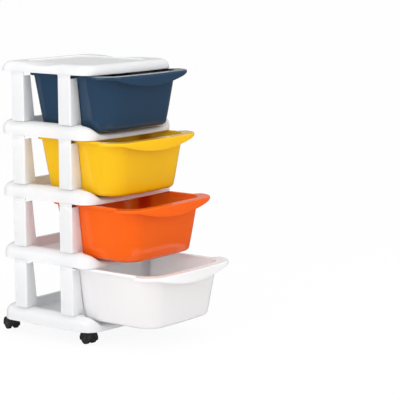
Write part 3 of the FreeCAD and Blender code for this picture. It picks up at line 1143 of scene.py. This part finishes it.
@dataclass
class Tray(ShellPlan):
    """Shelf or base frame: a hollow rounded ring round a sunk floor, with a low front lip."""

    node: str = "base_frame"
    ring_width: float = 0.031
    floor_height: float = 0.010
    lip_height: float = 0.016
    lip_half_width: float = 0.131
    lip_sweep: float = 0.046
    lip_back: float = -0.123
    pocket_corner: float = 0.030
    ledge_height: float = 0.023
    ledge_width: float = 0.002
    seat_half_width: float = 0.1483
    front_seat: tuple[float, float] = (-0.1075, -0.0615)
    rear_seat: tuple[float, float] = (0.068, 0.111)
    seat_slope: float = 0.0008
    edge: float = 0.0015

    FRONT_CUTS = 41
    ROUND_STEPS = 8
    FLOOR_INSETS = (0.060, 0.030)
    # Places along the sides between the post seats, where the rings have vertices too.
    MIDDLE_STOPS =(-0.040, -0.018, 0.004, 0.026, 0.048)

    def stops(self) -> tuple[float, ...]:
        """Give the places along the sides where the seats begin and end, and some between.

        Returns:
            The places, from front to rear.
        """
        slope = self.seat_slope
        places = list(self.MIDDLE_STOPS)
        for start, end in (self.front_seat, self.rear_seat):
            middle = (start + end) / 2.0
            places += [start - slope, start, start + slope, middle, end - slope, end, end + slope]
        return tuple(sorted(places))

    def seat(self, inset: float) -> Warp:
        """Push the inner wall inwards where the posts stand.

        Args:
            inset: how far inside the seat's faces.

        Returns:
            A function of X and Y that moves a vertex.
        """
        def warp(x: float, y: float) -> tuple[float, float]:
            """Move one vertex.

            Args:
                x: its X.
                y: its Y.

            Returns:
                Its new X and Y.
            """
            for start, end in (self.front_seat, self.rear_seat):
                if start + inset - HAIR <= y <= end - inset + HAIR:
                    return math.copysign(min(abs(x), self.seat_half_width + inset), x), y
            return x, y

        return warp

    def crest(self, bottom: float, height: float, drop: float = 0.0,
              below: float = 0.0) -> Level:
        """Give the height of the ring's top, which sweeps down to the lip in front.

        Args:
            bottom: height of the tray's lower edge.
            height: height of the ring above it.
            drop: how far below the ring's top, as a share of the ring's height.
            below: how far below that, as a length.

        Returns:
            A function of X and Y.
        """
        def level(x: float, y: float) -> float:
            """Work out the height at one place.

            Args:
                x: its X.
                y: its Y.

            Returns:
                The height.
            """
            full = height
            if y < self.lip_back:
                rise = smooth_step((abs(x) - self.lip_half_width) / self.lip_sweep)
                full = self.lip_height + (height - self.lip_height) * rise
            return bottom + full * (1.0 - drop) - below

        return level

    def pocket(self, inset: float) -> Outline:
        """Give the outline of the room inside the ring.

        Args:
            inset: how far inside the ring's inner wall.

        Returns:
            The outline.
        """
        drawn = self.ring_width
        return Outline(
            self.half_width - drawn, self.front - drawn, self.rear - drawn, self.pocket_corner,
            self.pocket_corner, self.bow, stops=self.stops()).inset(inset)

    def _floor_and_wall(self, sweep: RingSweep, bottom: float, height: float) -> None:
        """Sweep the floor, the pocket's wall and its ledge.

        Args:
            sweep: the skin.
            bottom: height of the tray's lower edge.
            height: height of the ring.
        """
        floor = bottom + self.floor_height
        wide = -self.ledge_width
        third = self.edge / 3.0
        under_lip = self.crest(bottom, height, below=2.0 * self.edge)

        def ledge(x: float, y: float) -> float:
            """Give the height of the ledge, which the low lip cuts off."""
            return min(bottom + self.ledge_height, under_lip(x, y))

        for inset in self.FLOOR_INSETS:
            sweep.to(self.pocket(inset).spread(), floor)
        sweep.to(self.pocket(self.edge), floor, self.seat(-self.edge))
        sweep.to(self.pocket(0.0), floor + self.edge, self.seat(0.0))
        sweep.to(self.pocket(0.0), ledge, self.seat(0.0))
        sweep.to(self.pocket(wide), ledge, self.seat(0.0))
        for inset, below in ((0.0, self.edge), (third, third), (self.edge, 0.0)):
            sweep.to(
                self.pocket(wide - inset), self.crest(bottom, height, below=below),
                self.seat(inset))

    def _round(self, sweep: RingSweep, bottom: float, height: float, offset: float,
               falling: bool) -> None:
        """Sweep the round and the outer wall.

        Args:
            sweep: the skin.
            bottom: height of the tray's lower edge.
            height: height of the ring.
            offset: how far inside the outer face.
            falling: True from the crest to the lower edge, False the other way.
        """
        for inset, drop in self.round_rings(offset, falling):
            sweep.to(self.outline(inset), self.crest(bottom, height, drop / height))

    def _hollow(self, sweep: RingSweep, bottom: float, height: float) -> None:
        """Sweep the hollow underside back to the middle.

        Args:
            sweep: the skin.
            bottom: height of the tray's lower edge.
            height: height of the ring.
        """
        wall, lip = self.wall, self.foot_edge
        for inset, rise in ((0.0, lip), (lip, 0.0), (wall - lip, 0.0), (wall, lip)):
            sweep.to(self.outline(inset), bottom + rise)
        self._round(sweep, bottom, height, wall, False)
        inner = -self.ledge_width - wall
        under = bottom + self.floor_height - wall
        seat = self.seat(wall)
        sweep.to(self.pocket(inner), self.crest(bottom, height, wall / height), seat)
        sweep.to(self.pocket(inner), under + self.edge, seat)
        sweep.to(self.pocket(inner + self.edge), under, seat)
        for inset in reversed(self.FLOOR_INSETS):
            sweep.to(self.pocket(inset).spread(), under)

    def build(self, shop: Workshop, finish: bpy.types.Material) -> None:
        """Make the tray where its node stands.

        Args:
            shop: turns the mesh into a piece.
            finish: its material.
        """
        low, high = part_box(self.node)
        bottom = low.z
        height = high.z - low.z
        sweep = self.start()
        self._floor_and_wall(sweep, bottom, height)
        self._round(sweep, bottom, height, 0.0, True)
        self._hollow(sweep, bottom, height)
        shop.piece(
            sweep.close(), self.node + "_tray", TOWER_BODY, finish,
            [self.node])


@dataclass
class Post:
    """Corner post: a channel with a side plate and two webs that taper with the drawer."""

    node: str
    wall: float = 0.003
    rim_slot: float = 0.010
    web_head: float = 0.16444
    web_foot: float = 0.1483
    corner_round: float = 0.0035
    edge_round: float = 0.0006
    tongue_height: float = 0.010
    tongue_margin: float = 0.006
    tongue_wall: float = 0.0025
    rib_count: int = 3
    rib_wall: float = 0.002
    rib_margin: float = 0.010

    FOLD_ANGLE = 1.0
    FOLD_SEGMENTS = 4
    EDGE_ANGLE = math.radians(50.0)
    EDGE_SEGMENTS = 2

    def _fold(self, mesh: BMesh, low: Vector, high: Vector, head: float) -> None:
        """Fold the plate and the webs from a strip, on the right-hand side.

        Args:
            mesh: where they go.
            low: lowest corner of the post.
            high: highest corner of the post.
            head: height of the post's head.
        """
        inner, outer = self.web_foot, high.x
        path = [(inner, low.y), (outer, low.y), (outer, high.y), (inner, high.y)]
        verts = [mesh.verts.new((x, y, low.z)) for x, y in path]
        edges = [mesh.edges.new(pair) for pair in zip(verts, verts[1:])]
        for level in (head - self.rim_slot, head):
            fresh, edges = extrude_edges(mesh, edges)
            for vert in fresh:
                vert.co.z = level
                if abs(vert.co.x - inner) < self.wall:
                    vert.co.x = self.web_head
            inner = self.web_head
            edges = [e for e in edges if all(v.co.x > outer - self.wall for v in e.verts)]

    def _round_and_thicken(self, mesh: BMesh, slot: float) -> None:
        """Round the folds, keep the slot's edge level, and give the sheet its wall.

        Args:
            mesh: the folded strip.
            slot: height of the slot's lower edge.
        """
        round_edges(mesh, self.corner_round, self.FOLD_SEGMENTS, self.FOLD_ANGLE, False)
        for vert in mesh.verts:
            if slot < vert.co.z < slot + 2.0 * self.corner_round:
                vert.co.z = slot
        turn_outwards(mesh)
        plate = max(mesh.faces, key=lambda face: face.calc_center_median().x)
        if plate.normal.x < 0.0:
            bmesh.ops.reverse_faces(mesh, faces=mesh.faces[:])
        bmesh.ops.solidify(mesh, geom=mesh.faces[:], thickness=self.wall)

    def _slab(self, mesh: BMesh, low: Vector, high: Vector) -> None:
        """Add a slab between two corners.

        Args:
            mesh: where it goes.
            low: its lowest corner.
            high: its highest corner.
        """
        size = high - low
        place = Matrix.Translation((low + high) / 2.0) @ Matrix.Diagonal((*size, 1.0))
        bmesh.ops.create_cube(mesh, size=1.0, matrix=place)

    def _fittings(self, mesh: BMesh, low: Vector, high: Vector, head: float) -> None:
        """Add the foot plate, the ribs inside the channel and the tongue.

        Args:
            mesh: where they go.
            low: lowest corner of the post.
            high: highest corner of the post.
            head: height of the post's head.
        """
        bite = self.wall / 3.0
        plate = high.x - self.wall + bite
        inside = Vector((0.0, self.wall - bite, 0.0))
        reach = head - self.rim_slot - low.z
        for step in range(self.rib_count + 1):
            share = step / (self.rib_count + 1)
            web = self.web_foot + share * (self.web_head - self.web_foot)
            level = low.z + share * reach
            near = Vector((web + (self.rib_margin if step else 0.0), low.y, level)) + inside
            far = Vector((plate, high.y, level + self.rib_wall)) - inside
            self._slab(mesh, near, far)
        outer = high.x - self.wall / 2.0 - bite
        self._slab(
            mesh,
            Vector((outer - self.tongue_wall, low.y + self.tongue_margin, head - bite)),
            Vector((outer, high.y - self.tongue_margin, head + self.tongue_height - bite)))

    def build(self, shop: Workshop, finish: bpy.types.Material) -> None:
        """Make the post where its node stands, the left one as the right one's mirror.

        Args:
            shop: turns the mesh into a piece.
            finish: its material.
        """
        low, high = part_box(self.node)
        left = high.x < 0.0
        if left:
            low.x, high.x = -high.x, -low.x
        head = high.z - self.tongue_height
        mesh = bmesh.new()
        self._fold(mesh, low, high, head)
        self._round_and_thicken(mesh, head - self.rim_slot)
        self._fittings(mesh, low, high, head)
        round_edges(mesh, self.edge_round, self.EDGE_SEGMENTS, self.EDGE_ANGLE, True)
        if left:
            bmesh.ops.scale(mesh, vec=(-1.0, 1.0, 1.0), verts=mesh.verts[:])
        turn_outwards(mesh)
        shop.piece(mesh, self.node + "_channel", TOWER_BODY, finish, [self.node])


@dataclass
class Caster:
    """Twin-wheel caster on a steel stem."""

    name: str
    bore: float = 0.00205
    wheel_width: float = 0.0115
    edge_round: float = 0.0022
    face_dish: float = 0.0013
    hub_radius: float = 0.0075
    cap_radius: float = 0.0045
    cap_foot: float = 0.00375
    groove: float = 0.0005
    hood_round: float = 0.0004

    STEPS = 64
    # Points on the round between the wheel's face and its tread.
    TREAD_ANGLES = (0.0, 0.4, 0.8, 1.2, math.pi / 2.0)
    FLAT_ANGLE = math.radians(0.5)
    EDGE_ANGLE = math.radians(35.0)
    EDGE_SEGMENTS = 2

    def _joint(self, name: str) -> dict:
        """Find a joint of the record by its name."""
        return next(joint for joint in frame["joints"] if joint["name"] == name)

    def _profile(self, radius: float, start: float) -> list[tuple[float, float]]:
        """Give the wheel's section.

        Args:
            radius: the wheel's radius.
            start: where its inner face lies along the axle.

        Returns:
            Places as distance along the axle and radius, once round the section.
        """
        end = start + self.wheel_width
        turn, dish, groove, hub = self.edge_round, self.face_dish, self.groove, self.hub_radius
        tread = [(start + turn * (1.0 - math.cos(a)), radius - turn * (1.0 - math.sin(a)))
                 for a in self.TREAD_ANGLES]
        far = [(start + end - along, out) for along, out in reversed(tread)]
        inner = radius - turn - dish
        middle = (start + end) / 2.0
        crown = [
            (middle - groove * 2.0, radius), (middle - groove, radius - groove),
            (middle + groove, radius - groove), (middle + groove * 2.0, radius)]
        face = [
            (end - groove, inner), (end - dish, inner - dish), (end - dish, hub + dish),
            (end - groove, hub), (end - groove * 2.0, self.cap_radius),
            (end - dish, self.cap_foot), (end - dish, self.bore)]
        return [(start, self.bore)] + tread + crown + far + face

    def _wheel(self, side: str, shop: Workshop, finish: bpy.types.Material) -> None:
        """Turn one wheel about its axle.

        Args:
            side: "a" or "b".
            shop: turns the mesh into a piece.
            finish: its material.
        """
        node = "caster_wheel_%s_%s" % (self.name, side)
        joint = self._joint("wheel_spin_%s_%s" % (self.name, side))
        centre = Vector(joint["pos_m"])
        axle = Vector(joint["axis"]).normalized()
        low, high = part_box(node)
        middle = (low + high) / 2.0 - centre
        away = axle if middle.dot(axle) > 0.0 else -axle
        start = middle.dot(away) - self.wheel_width / 2.0
        radius = (high.z - low.z) / 2.0
        up = Vector((0.0, 0.0, 1.0))
        mesh = bmesh.new()
        places = [centre + away * along + up * out for along, out in self._profile(radius, start)]
        verts = [mesh.verts.new(place) for place in places]
        edges = [mesh.edges.new(pair) for pair in zip(verts, verts[1:] + verts[:1])]
        bmesh.ops.spin(
            mesh, geom=verts + edges, cent=centre, axis=away, angle=2.0 * math.pi,
            steps=self.STEPS, use_merge=True, use_duplicate=False)
        bmesh.ops.remove_doubles(mesh, verts=mesh.verts[:], dist=MERGE_DISTANCE)
        turn_outwards(mesh)
        shop.piece(
            mesh, node + "_disc", "wheel_%s_%s" % (self.name, side), finish,
            [node])

    def build(self, shop: Workshop, finishes: dict[Slot, bpy.types.Material]) -> None:
        """Make the caster's pieces where their nodes stand.

        Args:
            shop: turns meshes into pieces.
            finishes: the materials by slot.
        """
        node = "caster_housing_" + self.name
        mesh = shop.merged_copy(node, self.FLAT_ANGLE)
        round_edges(mesh, self.hood_round, self.EDGE_SEGMENTS, self.EDGE_ANGLE, True)
        shop.piece(
            mesh, node + "_hood", "caster_" + self.name,
            finishes[Slot.CASTER], [node])
        for side in ("a", "b"):
            self._wheel(side, shop, finishes[Slot.WHEEL])
        for part in ("caster_stem_", "caster_axle_"):
            shop.dress(part + self.name, finishes[Slot.STEEL])


@dataclass(frozen=True)
class SoftBox:
    """Square lamp that lights the tower evenly."""

    name: str
    place: Place
    side: float
    power: float

    def hang(self, target: Place) -> None:
        """Hang the lamp in its place.

        Args:
            target: what it faces.
        """
        data = bpy.data.lights.new(self.name, "AREA")
        data.energy = self.power
        data.size = self.side
        lamp = add_object(self.name, data)
        lamp.location = self.place
        facing = Vector(target) - Vector(self.place)
        lamp.rotation_euler = facing.to_track_quat("-Z", "Y").to_euler()


@dataclass
class Studio:
    """Pale floor, soft light and the camera."""

    floor_half: float = 30.0
    floor_tone: float = 0.9
    floor_show: float = 0.92
    seen_white: float = 1.0
    mirrored_floor: float = 0.12
    mirrored_room: float = 0.42
    ambient: float = 0.94
    lit_middle: Place = (0.0, -0.1, 0.4)
    camera_place: Place = (-3.66327, -3.18938, 1.15136)
    camera_forward: Place = (0.786586, 0.597043, -0.157554)
    focal_pixels: float = 1686.27
    photo_pixels: float = 400.0
    sensor: float = 36.0
    camera_sight: float = 100.0

    FLOOR_CUTS = 4
    WHITE = (1.0, 1.0, 1.0, 1.0)
    LAMPS = (
        SoftBox("left_soft_box", (-2.6, -0.7, 1.1), 2.0, 20.0),
        SoftBox("front_soft_box", (0.6, -3.2, 1.5), 2.0, 10.0),
        SoftBox("top_soft_box", (-0.5, -1.2, 2.9), 1.6, 14.0),
    )

    def _seen(self, bench: NodeBench,
              mirrored: float) -> tuple[bpy.types.NodeSocket, bpy.types.NodeSocket]:
        """Tell the rays that show the room from the rays that light it.

        Args:
            bench: where the nodes go.
            mirrored: the level for mirrored and passed rays.

        Returns:
            The socket with 1 where the room is seen or mirrored, and the socket with its level.
        """
        path = bench.add("ShaderNodeLightPath").outputs
        passed = bench.calculate("MAXIMUM", path["Is Glossy Ray"], path["Is Transmission Ray"])
        mask = bench.calculate("MAXIMUM", path["Is Camera Ray"], passed)
        return mask, bench.remap(passed, 0.0, 1.0, self.seen_white, mirrored)

    def _floor_material(self) -> bpy.types.Material:
        """Make the floor's material: matte where it lights, nearly white where it is seen.

        Returns:
            The material.
        """
        material = bpy.data.materials.new("pale_floor")
        bench = NodeBench.cleared(material)
        matte = bench.add("ShaderNodeBsdfDiffuse", {"Color": (*[self.floor_tone] * 3, 1.0)})
        seen, level = self._seen(bench, self.mirrored_floor)
        shown = bench.add("ShaderNodeEmission", {"Strength": level})
        mix = bench.add(
            "ShaderNodeMixShader", {"Fac": bench.calculate("MULTIPLY", seen, self.floor_show)})
        bench.feed(matte.outputs["BSDF"], mix.inputs[1])
        bench.feed(shown.outputs["Emission"], mix.inputs[2])
        bench.add("ShaderNodeOutputMaterial", {"Surface": mix.outputs["Shader"]})
        return material

    def _floor(self) -> None:
        """Lay a pale floor that keeps a faint shadow."""
        mesh = bmesh.new()
        bmesh.ops.create_grid(
            mesh, x_segments=self.FLOOR_CUTS, y_segments=self.FLOOR_CUTS, size=self.floor_half)
        data = to_data(mesh, "studio_floor")
        data.materials.append(self._floor_material())
        floor = add_object("studio_floor", data)

    def _world(self) -> None:
        """Fill the room with even light, white where it is seen."""
        world = bpy.data.worlds.new("soft_room")
        bench = NodeBench.cleared(world)
        seen, level = self._seen(bench, self.mirrored_room)
        strength = bench.add(
            "ShaderNodeMix", {"Factor": seen, "A": self.ambient, "B": level}, data_type="FLOAT")
        back = bench.add("ShaderNodeBackground", {
            "Color": self.WHITE, "Strength": strength.outputs["Result"]})
        bench.add("ShaderNodeOutputWorld", {"Surface": back.outputs["Background"]})
        bpy.context.scene.world = world

    def _camera(self) -> None:
        """Set the camera as the photograph was taken."""
        data = bpy.data.cameras.new("photo_camera")
        data.sensor_width = self.sensor
        data.lens = self.focal_pixels * self.sensor / self.photo_pixels
        data.clip_end = self.camera_sight
        camera = add_object("photo_camera", data)
        camera.location = self.camera_place
        camera.rotation_mode = "QUATERNION"
        camera.rotation_quaternion = Vector(self.camera_forward).to_track_quat("-Z", "Y")
        bpy.context.scene.camera = camera

    def build(self) -> None:
        """Set up floor, world, camera and lamps."""
        bpy.context.scene.view_settings.view_transform = "Standard"
        self._floor()
        self._world()
        self._camera()
        for lamp in self.LAMPS:
            lamp.hang(self.lit_middle)


class DrawerTower:
    """The whole tower, built piece by piece."""

    TIERS = 4
    DRAWERS = (Slot.NAVY, Slot.YELLOW, Slot.ORANGE, Slot.WHITE)

    def __init__(self) -> None:
        """Make the finishes."""
        self.shop = Workshop()
        skin = MouldedSkin().build()
        marks = RubMarks().build()
        self.finishes = {slot: finish.build(skin, marks) for slot, finish in FINISHES.items()}

    def build_frame(self) -> None:
        """Make the top panel, the trays and the posts."""
        white = self.finishes[Slot.FRAME]
        TopPanel().build(self.shop, white)
        Tray(node="base_frame").build(self.shop, white)
        for shelf in range(1, self.TIERS):
            Tray(node="shelf_frame_%d" % shelf).build(self.shop, white)
        for tier in range(1, self.TIERS + 1):
            for row in ROWS:
                for side in SIDES:
                    Post("post_%d_%s_%s" % (tier, row, side)).build(self.shop, white)

    def build_drawers(self) -> None:
        """Make the four drawers."""
        for slot in self.DRAWERS:
            TubDrawer(slot.value, slot).build(self.shop, self.finishes[slot])

    def build_casters(self) -> None:
        """Make the four casters."""
        for row in ROWS:
            for side in SIDES:
                Caster(row + "_" + side).build(self.shop, self.finishes)


def main() -> None:
    """Build the tower and its studio."""
    logging.basicConfig(level=logging.INFO, format="%(name)s: %(message)s")
    tower = DrawerTower()
    tower.build_frame()
    tower.build_drawers()
    tower.build_casters()
    Studio().build()


if __name__ == "__main__":
    main()
